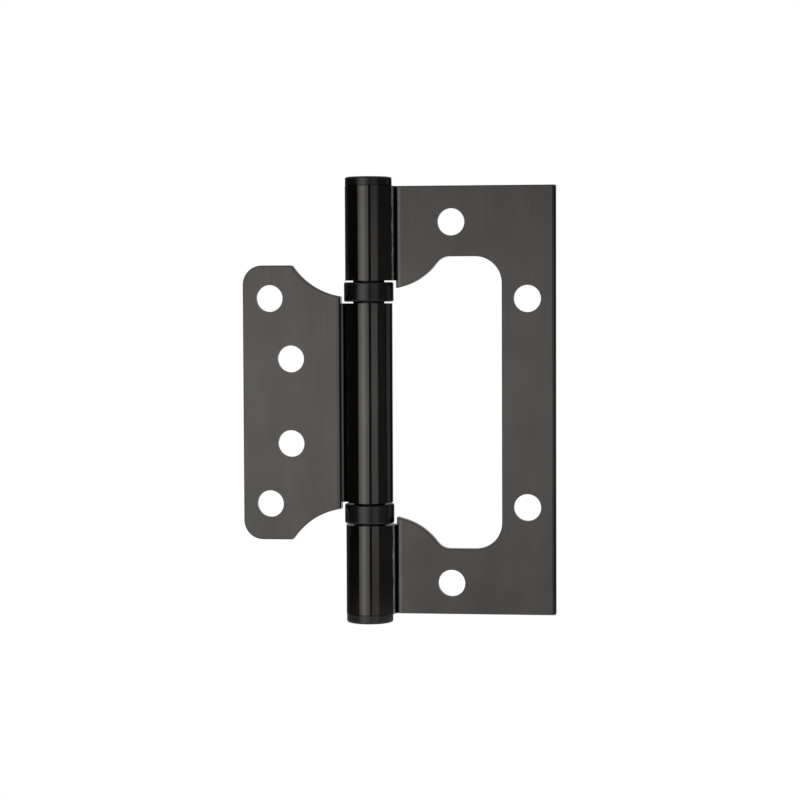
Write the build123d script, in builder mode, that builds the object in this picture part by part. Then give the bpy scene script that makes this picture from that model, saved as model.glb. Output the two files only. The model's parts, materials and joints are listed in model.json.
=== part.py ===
from build123d import *
from math import cos, pi, radians, sin
import os

# Non-mortise door hinge with two ball bearings, all sizes in millimetres.
# The origin is on the pin's axis, at the middle of the large leaf's height.
# +Z runs up the pin, +X points to the large leaf's free edge, and the hinge is modelled flat open.
# The leaves' plain faces and the knuckles' seams look to -Y, the countersunk faces to +Y.

# Sheet, and the way both leaves are rolled about the pin
sheet = 2.5
pin_radius = 3.0
press_clearance = 0.01
running_clearance = 0.05
curl_tip_angle = 55.0
curl_tip_round = 0.5
large_crank_angle = 36.5
large_crank_inner_radius = 0.3
large_seam_gap = 0.2
small_crank_angle = 45.0
small_crank_inner_radius = 2.3
small_seam_gap = 1.6

# Large leaf
leaf_height = 100.0
large_reach = 43.8
large_edge_round = 0.8

# Window in the large leaf that the small leaf closes into, and the lugs above and below it
window_edge = 31.25
window_height = 68.3
window_corner_radius = 6.3
window_drop = 0.58
lug_centre_x = 4.2
lug_centre_z = 41.4
lug_radius = 14.75
lug_round = 3.7

# Small leaf, with the gap round it when the hinge is closed
nest_gap = 1.9
nest_end_gap = 1.5
small_corner_radius = 4.5
small_point_round = 0.7

# Middle knuckle, bearings between the knuckles, and slits between the collars and the leaves
middle_knuckle = 46.6
bearing_gap = 5.3
collar_radius = 5.8
slit_clearance = 0.75

# Screw holes, by distance in from the leaves' free and end edges, and spacing along the pin
hole_radius = 3.15
sink_radius = 4.3
sink_angle = 90.0
large_inner_margin = 24.35
large_inner_end_margin = 7.85
large_outer_margin = 6.6
large_outer_spacing = 48.6
small_inner_margin = 11.35
small_inner_spacing = 19.9
small_outer_margin = 6.35
small_outer_end_margin = 8.1
small_holes_rise = 0.35

# Rounded rim that blanking leaves round each leaf's plain face
rim_round = 0.3

# End caps, pressed into the outer knuckles above and below the pin
cap_height = 2.15
cap_inset = 0.05
cap_round = 0.45
cap_foot_chamfer = 0.15
spigot_length = 4.0
pin_end_gap = 0.1
pin_chamfer = 0.5

# Bearings
collar_height = 4.55
collar_wall = 0.6
collar_lip = 0.45
collar_round = 0.4
hub_radius = 3.67
bearing_clearance = 0.1
ball_radius = 0.75
ball_clearance = 0.04
ball_spacing = 0.08
groove_depth = 0.3

# Sizes that follow from the ones above
nest_centre = -window_drop
middle_top = nest_centre + middle_knuckle / 2
middle_bottom = nest_centre - middle_knuckle / 2
upper_bottom = middle_top + bearing_gap
lower_top = middle_bottom - bearing_gap
slit_edge = collar_radius + slit_clearance
small_reach = window_edge - nest_end_gap
small_height = window_height - 2 * nest_gap
large_inner_spacing = leaf_height - 2 * large_inner_end_margin
small_outer_spacing = small_height - 2 * small_outer_end_margin
fixed_bore = pin_radius + press_clearance
running_bore = pin_radius + running_clearance
large_roll = (fixed_bore, large_crank_angle, large_crank_inner_radius, large_seam_gap)
small_roll = (running_bore, small_crank_angle, small_crank_inner_radius, small_seam_gap)
blank_depth = running_bore + 2 * sheet

os.makedirs("parts", exist_ok=True)


def flat_start(roll):
    """Return the distance from the pin's axis at which a leaf's flat part starts."""
    bore, crank_angle, crank_inner_radius, _ = roll
    turn = radians(crank_angle)
    bend = crank_inner_radius + sheet / 2
    return (bore + sheet / 2 + bend * (1 - cos(turn))) / sin(turn)


def sheet_face(roll, offset, reach):
    """Draw one face of a rolled leaf, offset from the sheet's middle, from seam to free edge."""
    bore, crank_angle, crank_inner_radius, seam_gap = roll
    tip = radians(curl_tip_angle)
    turn = radians(crank_angle)
    lean = tip - turn
    tip_length = (bore * (1 + sin(lean)) - seam_gap) / cos(lean)
    radius = bore + sheet / 2 + offset
    bend_middle = crank_inner_radius + sheet / 2
    bend = bend_middle - offset
    flat = flat_start(roll)
    tip_start = (radius * cos(tip), -radius * sin(tip))
    tip_end = (tip_start[0] + tip_length * sin(tip), tip_start[1] + tip_length * cos(tip))
    flank_start = (radius * sin(turn), radius * cos(turn))
    flank_end = (flat - bend * sin(turn), bend_middle - bend * cos(turn))
    Line(tip_end, tip_start)
    CenterArc((0, 0), radius, -curl_tip_angle, curl_tip_angle - crank_angle - 270)
    Line(flank_start, flank_end)
    CenterArc((flat, bend_middle), bend, -90 - crank_angle, crank_angle)
    Line((flat, offset), (reach, offset))
    return tip_end


def rolled_sheet(roll, reach, low, high, edge_round, keep):
    """Return part of a sheet rolled about the pin: its flat part along +X, or a knuckle."""
    with BuildPart() as rolled:
        with BuildSketch(Plane.XY.offset(low)) as section:
            with BuildLine():
                inner_tip = sheet_face(roll, -sheet / 2, reach)
                outer_tip = sheet_face(roll, sheet / 2, reach)
                Line(inner_tip, outer_tip)
                Line((reach, -sheet / 2), (reach, sheet / 2))
            make_face()
            fillet(section.vertices().sort_by_distance(outer_tip)[0], curl_tip_round)
            if edge_round > 0:
                free_corner = section.vertices().sort_by_distance((reach, -sheet / 2))[0]
                fillet(free_corner, edge_round)
        extrude(amount=high - low)
        split(bisect_by=Plane.YZ.offset(slit_edge), keep=keep)
    return rolled.part


def lug_centres():
    """Return the centres of the arcs that the window and the small leaf share."""
    return [
        (lug_centre_x, nest_centre + lug_centre_z),
        (lug_centre_x, nest_centre - lug_centre_z),
    ]


def rim_edges(leaf, low, high):
    """Return the edges round a leaf's plain face whose middles lie between two distances."""
    face = leaf.faces().filter_by(Axis.Y).sort_by(Axis.Y)[0]
    return face.edges().filter_by(lambda edge: low < edge.center().X < high)


def screw_rows(rows):
    """Cut countersunk screw holes, two for each row's distance, spacing and mid-height."""
    for distance, spacing, height in rows:
        for end in (-1, 1):
            place = (distance, sheet / 2, height + end * spacing / 2)
            with Locations(Plane(origin=place, z_dir=(0, 1, 0))):
                CounterSinkHole(hole_radius, sink_radius, 2 * sheet, sink_angle)


# The large leaf: its flat part with the window, then the two outer knuckles
half_height = leaf_height / 2
large_flat = rolled_sheet(
    large_roll, large_reach, -half_height, half_height, large_edge_round, Keep.TOP
)
upper_knuckle = rolled_sheet(
    large_roll, large_reach, upper_bottom, half_height, large_edge_round, Keep.BOTTOM
)
lower_knuckle = rolled_sheet(
    large_roll, large_reach, -half_height, lower_top, large_edge_round, Keep.BOTTOM
)

with BuildPart() as large_leaf:
    add(large_flat)
    with BuildSketch(Plane.XZ) as window:
        with Locations((window_edge / 2, nest_centre)):
            Rectangle(window_edge, window_height)
        with Locations(*lug_centres()):
            Circle(lug_radius, mode=Mode.SUBTRACT)
        fillet(window.vertices().group_by(Axis.X)[-2], lug_round)
        fillet(window.vertices().group_by(Axis.X)[-1], window_corner_radius)
    extrude(amount=blank_depth, both=True, mode=Mode.SUBTRACT)
    rim = rim_edges(large_leaf, flat_start(large_roll) + 0.01, large_reach - large_edge_round - 0.01)
    fillet(rim, rim_round)
    add(upper_knuckle)
    add(lower_knuckle)
    screw_rows([
        (large_reach - large_inner_margin, large_inner_spacing, nest_centre),
        (large_reach - large_outer_margin, large_outer_spacing, nest_centre),
    ])
large_leaf.part.label = "large_leaf"
export_step(large_leaf.part, "parts/large_leaf.step")

# The small leaf, drawn along +X like the large one and then mirrored to -X
small_flat = rolled_sheet(
    small_roll, large_reach, -half_height, half_height, 0, Keep.TOP
)
small_knuckle = rolled_sheet(
    small_roll, large_reach, middle_bottom, middle_top, 0, Keep.BOTTOM
)

with BuildPart() as small_leaf_drawn:
    add(small_flat)
    with BuildSketch(Plane.XZ) as tongue:
        with Locations((small_reach / 2, nest_centre)):
            Rectangle(small_reach, small_height)
        with Locations(*lug_centres()):
            Circle(lug_radius + nest_gap, mode=Mode.SUBTRACT)
        fillet(tongue.vertices().group_by(Axis.X)[-2], small_point_round)
        fillet(tongue.vertices().group_by(Axis.X)[-1], small_corner_radius)
    extrude(amount=blank_depth, both=True, mode=Mode.INTERSECT)
    rim = rim_edges(small_leaf_drawn, flat_start(small_roll) + 0.01, large_reach)
    fillet(rim, rim_round)
    add(small_knuckle)
    small_holes = nest_centre + small_holes_rise
    screw_rows([
        (small_reach - small_inner_margin, small_inner_spacing, small_holes),
        (small_reach - small_outer_margin, small_outer_spacing, small_holes),
    ])

with BuildPart() as small_leaf:
    mirror(small_leaf_drawn.part, about=Plane.YZ)
small_leaf.part.label = "small_leaf"
export_step(small_leaf.part, "parts/small_leaf.step")

# The pin, and the caps that close the bores above and below it
with BuildPart() as hinge_pin:
    Cylinder(pin_radius, leaf_height - 2 * (spigot_length + pin_end_gap))
    chamfer(hinge_pin.edges().filter_by(GeomType.CIRCLE), pin_chamfer)
hinge_pin.part.label = "hinge_pin"
export_step(hinge_pin.part, "parts/hinge_pin.step")

with BuildPart() as top_cap:
    with Locations((0, 0, leaf_height / 2)):
        Cylinder(
            fixed_bore + sheet - cap_inset,
            cap_height,
            align=(Align.CENTER, Align.CENTER, Align.MIN),
        )
    fillet(top_cap.edges().group_by(Axis.Z)[-1], cap_round)
    chamfer(top_cap.edges().group_by(Axis.Z)[0], cap_foot_chamfer)
    with Locations((0, 0, leaf_height / 2)):
        Cylinder(
            pin_radius,
            spigot_length,
            align=(Align.CENTER, Align.CENTER, Align.MAX),
        )
top_cap.part.label = "top_cap"
export_step(top_cap.part, "parts/top_cap.step")

with BuildPart() as bottom_cap:
    mirror(top_cap.part, about=Plane.XY)
bottom_cap.part.label = "bottom_cap"
export_step(bottom_cap.part, "parts/bottom_cap.step")

# Sizes inside a bearing, measured from the middle of its height
race_radius = collar_radius - collar_wall - bearing_clearance
race_low = ball_radius + ball_clearance - groove_depth
race_high = collar_height / 2 - collar_lip - bearing_clearance
pitch_radius = (running_bore + race_radius) / 2
ball_count = int(2 * pi * pitch_radius / (2 * ball_radius + ball_spacing))


def bearing_collar(centre):
    """Return the lipped ring that covers both races and the balls."""
    with BuildPart() as collar:
        with BuildSketch(Plane.XZ) as ring:
            with Locations((collar_radius / 2, centre)):
                Rectangle(collar_radius, collar_height)
            fillet(ring.vertices().group_by(Axis.X)[-1], collar_round)
            with Locations(((hub_radius + bearing_clearance) / 2, centre)):
                Rectangle(hub_radius + bearing_clearance, collar_height, mode=Mode.SUBTRACT)
            with Locations(((collar_radius - collar_wall) / 2, centre)):
                Rectangle(
                    collar_radius - collar_wall,
                    collar_height - 2 * collar_lip,
                    mode=Mode.SUBTRACT,
                )
        revolve(axis=Axis.Z)
    return collar.part


def bearing_race(centre, up):
    """Return a race, its hub against a knuckle, up or down from the bearing's middle."""
    with BuildPart() as race:
        with BuildSketch(Plane.XZ):
            with BuildLine():
                Polyline(
                    (running_bore, centre + up * race_low),
                    (race_radius, centre + up * race_low),
                    (race_radius, centre + up * race_high),
                    (hub_radius, centre + up * race_high),
                    (hub_radius, centre + up * bearing_gap / 2),
                    (running_bore, centre + up * bearing_gap / 2),
                    close=True,
                )
            make_face()
            with Locations((pitch_radius, centre)):
                Circle(ball_radius + ball_clearance, mode=Mode.SUBTRACT)
        revolve(axis=Axis.Z)
    return race.part


for bearing, centre in (
    ("upper_bearing", middle_top + bearing_gap / 2),
    ("lower_bearing", middle_bottom - bearing_gap / 2),
):
    collar_part = bearing_collar(centre)
    collar_part.label = f"{bearing}_collar"
    export_step(collar_part, f"parts/{bearing}_collar.step")

    for side, up in (("top", 1), ("bottom", -1)):
        race_part = bearing_race(centre, up)
        race_part.label = f"{bearing}_{side}_race"
        export_step(race_part, f"parts/{bearing}_{side}_race.step")

    for number in range(ball_count):
        turn = 2 * pi * number / ball_count
        with BuildPart() as ball:
            with Locations((pitch_radius * cos(turn), pitch_radius * sin(turn), centre)):
                Sphere(ball_radius)
        ball.part.label = f"{bearing}_ball_{number + 1:02d}"
        export_step(ball.part, f"parts/{bearing}_ball_{number + 1:02d}.step")
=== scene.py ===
import json
from math import cos, pi, radians, sin

import bpy
from mathutils import Matrix, Vector


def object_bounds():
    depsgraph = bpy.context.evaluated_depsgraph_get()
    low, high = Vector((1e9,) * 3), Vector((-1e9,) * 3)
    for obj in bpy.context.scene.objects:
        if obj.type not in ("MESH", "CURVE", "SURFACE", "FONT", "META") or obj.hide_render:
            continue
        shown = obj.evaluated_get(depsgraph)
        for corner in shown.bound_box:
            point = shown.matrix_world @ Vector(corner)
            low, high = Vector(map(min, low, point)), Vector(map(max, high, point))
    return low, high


# Looks of the non-mortise hinge: plated finishes, studio light and the photograph's camera.
# Everything is in metres, in the same frame as the CAD part.

# Camera: where it stands, how far it turns to its left, looks down and leans, and its lens
CAMERA_PLACE = Vector((0.07418, -0.5450, 0.0257))
CAMERA_TURN = radians(7.0)
CAMERA_TILT = radians(2.672)
CAMERA_LEAN = radians(-0.226)
CAMERA_LENS = 105.67
CAMERA_SENSOR = 36.0
CAMERA_NEAR = 0.05
CAMERA_FAR = 20.0

# How noise is stretched along X, Y and Z. The leaves' grain runs up them, and turned pieces have
# theirs round them.
EVEN = (1.0, 1.0, 1.0)
LENGTHWISE = (1.0, 1.0, 0.02)
ROUND = (0.03, 0.03, 1.0)

# Metals: dark nickel plating and bare steel. Each has its linear colour, its roughness, the stretch,
# fineness and depth of its grain, how far its tone changes, and how much its edges change: paler where
# worn above nought, darker with painted shade below it. The rolled sheet is also faintly wavy.
STEEL_COLOUR = (0.46, 0.45, 0.44)
SHEET = {
    "colour": (0.138, 0.130, 0.123),
    "roughness": 0.09,
    "stretch": LENGTHWISE,
    "scale": 4000.0,
    "depth": 2.5e-7,
    "tone_change": 0.05,
    "edge_wear_and_painted_shade": 0.35,
    "wave": 1.5e-4,
}
SATIN = {
    "colour": (0.090, 0.086, 0.083),
    "roughness": 0.24,
    "stretch": ROUND,
    "scale": 3500.0,
    "depth": 5e-7,
    "tone_change": 0.05,
    # The satin's darker edges are painted shade
    "edge_wear_and_painted_shade": -0.6,
}
GROUND_STEEL = {
    "colour": STEEL_COLOUR,
    "roughness": 0.22,
    "stretch": ROUND,
    "scale": 3000.0,
    "depth": 5e-7,
    "tone_change": 0.03,
    "edge_wear_and_painted_shade": 0.2,
}
TURNED_STEEL = {
    # The races' colour is far darker than bare steel
    "colour": (0.05, 0.048, 0.046),
    "roughness": 0.28,
    "stretch": ROUND,
    "scale": 3000.0,
    "depth": 5e-7,
    "tone_change": 0.03,
    # The turned steel's darker edges are painted shade
    "edge_wear_and_painted_shade": -0.3,
}
POLISHED_STEEL = {
    "colour": STEEL_COLOUR,
    "roughness": 0.08,
    "stretch": EVEN,
    "scale": 900.0,
    "depth": 1e-7,
    "tone_change": 0.02,
    "edge_wear_and_painted_shade": 0.0,
}

# Noise keeps near its middle, so these two values of it are taken for its ends
NOISE_LOW = 0.3
NOISE_HIGH = 0.7
# Soft clouds change the tone and the gloss, and slow swells make the rolled sheet wavy
CLOUD_SCALE = 90.0
GLOSS_CHANGE = 0.15
SWELL_SCALE = 80.0
SWELL_STRETCH = (1.0, 1.0, 0.2)

# Rubbed edges, and edges darkened with painted shade: how wide they are, how closely the rounded
# normal matches the true one where the mark is full and where it ends, and how patchy and how much
# rougher it is
WEAR_AND_SHADE_WIDTH = 0.00018
WEAR_AND_SHADE_FULL_MATCH = 0.80
WEAR_AND_SHADE_END_MATCH = 0.99
WEAR_AND_SHADE_SCALE = 700.0
WEAR_AND_SHADE_PATCHES = (0.40, 0.62)
WEAR_AND_SHADE_LEAST = 0.25
WEAR_ROUGHNESS = 0.06

# The sheared lip at the free end of each leaf's roll: its X and Y, as it runs along Z, and how
# bright it is. The small leaf's lip is made dimmer with painted shade, for the shade of its crank.
LARGE_LIP = (0.00615, -0.00225, 1.0)
SMALL_LIP = (-0.00500, -0.00330, 0.35)
LIP_COLOUR = (0.40, 0.385, 0.37)
LIP_ROUGHNESS = 0.5
LIP_WIDTH = 0.00055
LIP_BLEND = 0.15 * LIP_WIDTH
LIP_RAGGED_SCALE = 420.0
LIP_STREAK_SCALE = 2600.0
LIP_STREAK_STRETCH = (1.0, 1.0, 0.3)
LIP_STREAK_CHANGE = 0.3

# The ends of the barrel's turned and rolled pieces are darkened with painted shade, where the parts
# meet.
# They are found by how far they face up or down, and by their reach from the pin's axis.
BARREL_REACH = 0.0062
BARREL_BLEND = 0.05 * BARREL_REACH
END_FACING = (0.12, 0.5)
END_PAINTED_SHADE = 0.22
# The caps get less of this painted shade on their ends
CAP_END_PAINTED_SHADE = 0.8

# Studio light as soft upright bands round the object. Each one has its middle and its half width
# in degrees round from -Y towards +X, the width of its soft edge, its strength, and the share of
# that strength that is left well above and below its brightest height.
BANDS = {
    "key": (-20.0, 26.0, 5.0, 0.54, 0.68),
    "key_core": (-21.5, 10.5, 22.0, 0.44, 1.0),
    "fill": (34.0, 16.0, 7.0, 0.40, 0.25),
    "right_glow": (72.0, 26.0, 20.0, 0.045, 0.5),
    "side": (116.0, 15.0, 14.0, 0.15, 0.5),
    "back": (182.0, 16.0, 12.0, 0.60, 0.5),
    "left_back": (-126.0, 9.0, 8.0, 0.08, 0.5),
}
STUDIO_DARK = 0.017
# Where the bands are brightest, just below eye level, and how far from there they have weakened.
# An even soft light takes over well above and below them.
BAND_HEIGHT = sin(radians(-2.7))
BAND_FALL_HEIGHT = sin(radians(8.0))
EVEN_START = sin(radians(9.0))
EVEN_FULL = sin(radians(24.0))
EVEN_LIGHT = 0.35
WHITE = (1.0, 1.0, 1.0, 1.0)

# The hinge hangs clear of the floor, as it does in the photograph. The floor's own glow makes it
# white to the camera, and pale grey in the plating.
FLOOR_DROP = 0.2
FLOOR_RADIUS = 1.3
FLOOR_SIDES = 96
FLOOR_SPECKLE_SCALE = 60.0
FLOOR_SPECKLE_NOISE = (0.2, 0.8)
FLOOR_TONES = (0.84, 0.86)
FLOOR_GLOW_SEEN = 0.72
FLOOR_GLOW_MIRRORED = 0.25

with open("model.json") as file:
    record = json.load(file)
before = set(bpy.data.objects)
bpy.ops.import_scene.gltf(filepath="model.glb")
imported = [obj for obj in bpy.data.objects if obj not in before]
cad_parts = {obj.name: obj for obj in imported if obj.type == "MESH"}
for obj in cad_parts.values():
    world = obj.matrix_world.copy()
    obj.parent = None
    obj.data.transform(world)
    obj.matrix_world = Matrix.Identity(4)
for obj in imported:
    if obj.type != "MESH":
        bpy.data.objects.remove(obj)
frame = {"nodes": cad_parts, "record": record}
cad_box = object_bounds()
scene = bpy.context.scene


class Nodes:
    """A short way to add shader nodes and link them."""

    def __init__(self, tree):
        self.tree = tree
        tree.nodes.clear()

    def add(self, kind, settings=None, **inputs):
        """Add a node with its properties, and set or link its inputs, by name or as i0, i1 and so on."""
        node = self.tree.nodes.new(kind)
        for name, value in (settings or {}).items():
            setattr(node, name, value)
        for name, value in inputs.items():
            key = int(name[1:]) if name[1:].isdigit() else name.replace("_", " ")
            socket = node.inputs[key]
            if isinstance(value, bpy.types.NodeSocket):
                self.tree.links.new(value, socket)
            else:
                socket.default_value = value
        return node

    def math(self, operation, *values):
        """Add a math node and return its result."""
        inputs = {f"i{index}": value for index, value in enumerate(values)}
        return self.add("ShaderNodeMath", {"operation": operation}, **inputs).outputs[0]

    def split(self, vector):
        """Return the X, Y and Z of a vector."""
        parts = self.add("ShaderNodeSeparateXYZ", Vector=vector).outputs
        return parts["X"], parts["Y"], parts["Z"]

    def length(self, x, y):
        """Return how long a flat vector is."""
        return self.math("SQRT", self.math("MULTIPLY_ADD", x, x, self.math("MULTIPLY", y, y)))

    def ramp(self, value, low, high, to_low, to_high):
        """Map a value from one range to another, smoothly and clamped."""
        settings = {"interpolation_type": "SMOOTHSTEP"}
        inputs = {"i0": value, "i1": low, "i2": high, "i3": to_low, "i4": to_high}
        return self.add("ShaderNodeMapRange", settings, **inputs).outputs[0]

    def noise(self, vector, stretch, scale, detail=3.0):
        """Return noise whose grain is stretched by a factor along each axis."""
        settings = {"noise_dimensions": "3D"}
        stretched = self.add("ShaderNodeMapping", Vector=vector, Scale=stretch).outputs[0]
        inputs = {"Vector": stretched, "Scale": scale, "Detail": detail}
        return self.add("ShaderNodeTexNoise", settings, **inputs).outputs["Fac"]

    def vary(self, noise, middle, change):
        """Turn noise into a value that changes by a share to either side of its middle."""
        return self.ramp(noise, NOISE_LOW, NOISE_HIGH, middle * (1 - change), middle * (1 + change))

    def mix(self, factor, first, second):
        """Mix two values by a factor."""
        settings = {"data_type": "FLOAT"}
        return self.add("ShaderNodeMix", settings, Factor=factor, A=first, B=second).outputs[0]

    def mix_colour(self, factor, first, second):
        """Mix two colours by a factor."""
        settings = {"data_type": "RGBA"}
        return self.add("ShaderNodeMix", settings, Factor=factor, i6=first, i7=second).outputs[2]

    def scale_colour(self, colour, factor):
        """Make a colour lighter or darker."""
        settings = {"operation": "SCALE"}
        return self.add("ShaderNodeVectorMath", settings, i0=colour, Scale=factor).outputs[0]


def wear_and_shade_edges(nodes, place):
    """Return the edges that rubbing makes paler and painted shade makes darker: near sharp edges, and
    unevenly along them.
    """
    rounded = nodes.add("ShaderNodeBevel", {"samples": 6}, Radius=WEAR_AND_SHADE_WIDTH).outputs["Normal"]
    true_normal = nodes.add("ShaderNodeNewGeometry").outputs["Normal"]
    settings = {"operation": "DOT_PRODUCT"}
    match = nodes.add("ShaderNodeVectorMath", settings, i0=rounded, i1=true_normal).outputs["Value"]
    near_edge = nodes.ramp(match, WEAR_AND_SHADE_FULL_MATCH, WEAR_AND_SHADE_END_MATCH, 1.0, 0.0)
    patches = nodes.ramp(nodes.noise(place, EVEN, WEAR_AND_SHADE_SCALE), *WEAR_AND_SHADE_PATCHES, WEAR_AND_SHADE_LEAST, 1.0)
    return nodes.math("MULTIPLY", near_edge, patches)


def sheared_lip(nodes, place, lip_x, lip_y):
    """Return where the roll's free end shows its rough sheared lip, with a ragged border."""
    x, y, _ = nodes.split(place)
    across = nodes.math("SUBTRACT", x, lip_x)
    deep = nodes.math("SUBTRACT", y, lip_y)
    ragged = nodes.noise(place, EVEN, LIP_RAGGED_SCALE)
    # The noise is a half on average, which leaves the lip as wide as LIP_WIDTH says
    border = nodes.math("MULTIPLY_ADD", ragged, -LIP_WIDTH, 1.5 * LIP_WIDTH)
    inside = nodes.math("SUBTRACT", border, nodes.length(across, deep))
    return nodes.ramp(inside, -LIP_BLEND, LIP_BLEND, 0.0, 1.0)


def barrel_end_shade_mask(nodes, place):
    """Return where a piece's ends get painted shade, across the pin and close to it."""
    upward = nodes.split(nodes.add("ShaderNodeNewGeometry").outputs["Normal"])[2]
    flat_end = nodes.ramp(nodes.math("ABSOLUTE", upward), *END_FACING, 0.0, 1.0)
    x, y, _ = nodes.split(place)
    reach = nodes.length(x, y)
    near_pin = nodes.ramp(reach, BARREL_REACH - BARREL_BLEND, BARREL_REACH + BARREL_BLEND, 1.0, 0.0)
    return nodes.math("MULTIPLY", flat_end, near_pin)


def metal(
    name, colour, roughness, stretch, scale, depth, tone_change, edge_wear_and_painted_shade,
    end_painted_shade=END_PAINTED_SHADE, wave=0.0, lip=None,
):
    """Make a metal with a fine grain, soft changes of tone and gloss, edges that rubbing makes paler or
    painted shade makes darker, and ends darkened with painted shade.
    """
    material = bpy.data.materials.new(name)
    material.use_nodes = True
    nodes = Nodes(material.node_tree)
    place = nodes.add("ShaderNodeTexCoord").outputs["Object"]
    cloud = nodes.noise(place, EVEN, CLOUD_SCALE)
    grain = nodes.noise(place, stretch, scale)
    wear_and_shade = wear_and_shade_edges(nodes, place)

    tone = nodes.vary(cloud, 1.0, tone_change)
    fleck = nodes.vary(grain, 1.0, tone_change)
    # Edges are paler where worn when the value is above nought, and darker with painted shade below it
    edges = nodes.math("MULTIPLY_ADD", wear_and_shade, edge_wear_and_painted_shade, 1.0)
    # The ends are darkened with painted shade
    ends = nodes.math("MULTIPLY_ADD", barrel_end_shade_mask(nodes, place), end_painted_shade - 1.0, 1.0)
    shade = tone
    for change in (fleck, edges, ends):
        shade = nodes.math("MULTIPLY", shade, change)
    shaded = nodes.scale_colour(colour, shade)
    gloss = nodes.vary(cloud, roughness, GLOSS_CHANGE)
    gloss = nodes.math("MULTIPLY_ADD", wear_and_shade, WEAR_ROUGHNESS, gloss)

    if lip:
        lip_x, lip_y, lip_painted_shade = lip
        sheared = sheared_lip(nodes, place, lip_x, lip_y)
        streaks = nodes.noise(place, LIP_STREAK_STRETCH, LIP_STREAK_SCALE)
        # The small leaf's lip is dimmed here with painted shade
        streaks = nodes.vary(streaks, lip_painted_shade, LIP_STREAK_CHANGE)
        shaded = nodes.mix_colour(sheared, shaded, nodes.scale_colour(LIP_COLOUR, streaks))
        gloss = nodes.mix(sheared, gloss, LIP_ROUGHNESS)

    swell = nodes.noise(place, SWELL_STRETCH, SWELL_SCALE, detail=1.0)
    rolled = nodes.add("ShaderNodeBump", Strength=1.0, Distance=wave, Height=swell).outputs[0]
    bump = nodes.add("ShaderNodeBump", Strength=1.0, Distance=depth, Height=grain, Normal=rolled)
    shader = nodes.add(
        "ShaderNodeBsdfPrincipled",
        Base_Color=shaded,
        Metallic=1.0,
        Roughness=gloss,
        Normal=bump.outputs[0],
    )
    nodes.add("ShaderNodeOutputMaterial", Surface=shader.outputs[0])
    return material


def finish_pieces():
    """Give each piece of the frame its own finish, or else that of its material slot."""
    slots = {
        "caps_and_collars": metal("satin_plating", **SATIN, end_painted_shade=CAP_END_PAINTED_SHADE),
        "pin": metal("ground_steel", **GROUND_STEEL),
        "races": metal("turned_steel", **TURNED_STEEL),
        "balls": metal("polished_steel", **POLISHED_STEEL),
    }
    pieces = {
        "large_leaf": metal("large_leaf_plating", **SHEET, lip=LARGE_LIP),
        "small_leaf": metal("small_leaf_plating", **SHEET, lip=SMALL_LIP),
    }
    collar_plating = metal("collar_plating", **SATIN)
    for side in ("upper", "lower"):
        pieces[side + "_bearing_collar"] = collar_plating
    for part in frame["record"]["subparts"]:
        node = part["node"]
        mesh = frame["nodes"][node].data
        mesh.materials.clear()
        mesh.materials.append(pieces.get(node) or slots[part["material_slot"]])


def studio_world():
    """Light the object with soft upright bands, and show white to the camera."""
    world = bpy.data.worlds.new("studio")
    world.use_nodes = True
    scene.world = world
    nodes = Nodes(world.node_tree)
    x, y, z = nodes.split(nodes.add("ShaderNodeTexCoord").outputs["Generated"])
    turn = nodes.math("ARCTAN2", x, nodes.math("MULTIPLY", y, -1.0))
    from_brightest = nodes.math("ABSOLUTE", nodes.math("SUBTRACT", z, BAND_HEIGHT))
    light = STUDIO_DARK
    for middle, half_width, soft, strength, left_share in BANDS.values():
        away = nodes.math("WRAP", nodes.math("SUBTRACT", turn, radians(middle)), pi, -pi)
        inner = radians(half_width - soft / 2)
        outer = radians(half_width + soft / 2)
        band = nodes.ramp(nodes.math("ABSOLUTE", away), inner, outer, strength, 0.0)
        fall = nodes.ramp(from_brightest, 0.0, BAND_FALL_HEIGHT, 1.0, left_share)
        light = nodes.math("MULTIPLY_ADD", band, fall, light)
    even = nodes.ramp(nodes.math("ABSOLUTE", z), EVEN_START, EVEN_FULL, 0.0, 1.0)
    studio = nodes.mix(even, light, EVEN_LIGHT)
    seen = nodes.add("ShaderNodeLightPath").outputs["Is Camera Ray"]
    shade = nodes.mix(seen, studio, 1.0)
    background = nodes.add("ShaderNodeBackground", Color=WHITE, Strength=shade)
    nodes.add("ShaderNodeOutputWorld", Surface=background.outputs[0])


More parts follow.
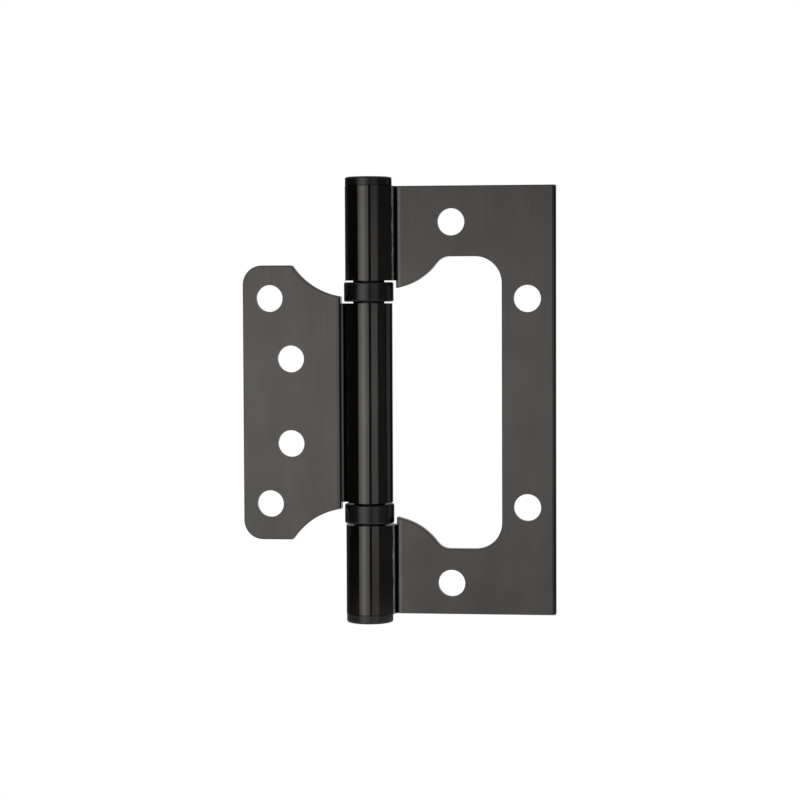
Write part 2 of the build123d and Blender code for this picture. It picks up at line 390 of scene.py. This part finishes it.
def pale_floor():
    """Lay a wide pale floor well below the hinge. It looks white, and it keeps the shadow."""
    low = cad_box[0].z - FLOOR_DROP
    mesh = bpy.data.meshes.new("floor")
    turns = [2 * pi * step / FLOOR_SIDES for step in range(FLOOR_SIDES)]
    rim = [(FLOOR_RADIUS * cos(turn), FLOOR_RADIUS * sin(turn), low) for turn in turns]
    mesh.from_pydata(rim, [], [range(FLOOR_SIDES)])
    floor = bpy.data.objects.new("floor", mesh)
    scene.collection.objects.link(floor)
    material = bpy.data.materials.new("pale_floor")
    material.use_nodes = True
    nodes = Nodes(material.node_tree)
    place = nodes.add("ShaderNodeTexCoord").outputs["Object"]
    speckle = nodes.noise(place, EVEN, FLOOR_SPECKLE_SCALE)
    level = nodes.ramp(speckle, *FLOOR_SPECKLE_NOISE, *FLOOR_TONES)
    colour = nodes.add("ShaderNodeCombineColor", Red=level, Green=level, Blue=level)
    paint = nodes.add("ShaderNodeBsdfDiffuse", Color=colour.outputs[0])
    path = nodes.add("ShaderNodeLightPath")
    seen = nodes.math("MULTIPLY", path.outputs["Is Camera Ray"], FLOOR_GLOW_SEEN)
    lift = nodes.math("MULTIPLY_ADD", path.outputs["Is Glossy Ray"], FLOOR_GLOW_MIRRORED, seen)
    glow = nodes.add("ShaderNodeEmission", Color=WHITE, Strength=lift)
    both = nodes.add("ShaderNodeAddShader", i0=paint.outputs[0], i1=glow.outputs[0])
    nodes.add("ShaderNodeOutputMaterial", Surface=both.outputs[0])
    mesh.materials.append(material)


def photo_camera():
    """Set the camera at the photograph's viewing angle."""
    data = bpy.data.cameras.new("photo_camera")
    data.lens = CAMERA_LENS
    data.sensor_width = CAMERA_SENSOR
    data.clip_start = CAMERA_NEAR
    data.clip_end = CAMERA_FAR
    camera = bpy.data.objects.new("photo_camera", data)
    upright = Matrix.Rotation(radians(90.0) - CAMERA_TILT, 4, "X")
    turned = Matrix.Rotation(CAMERA_TURN, 4, "Z") @ upright @ Matrix.Rotation(CAMERA_LEAN, 4, "Z")
    camera.matrix_world = Matrix.Translation(CAMERA_PLACE) @ turned
    scene.collection.objects.link(camera)
    scene.camera = camera


finish_pieces()
studio_world()
pale_floor()
photo_camera()
scene.view_settings.view_transform = "Standard"
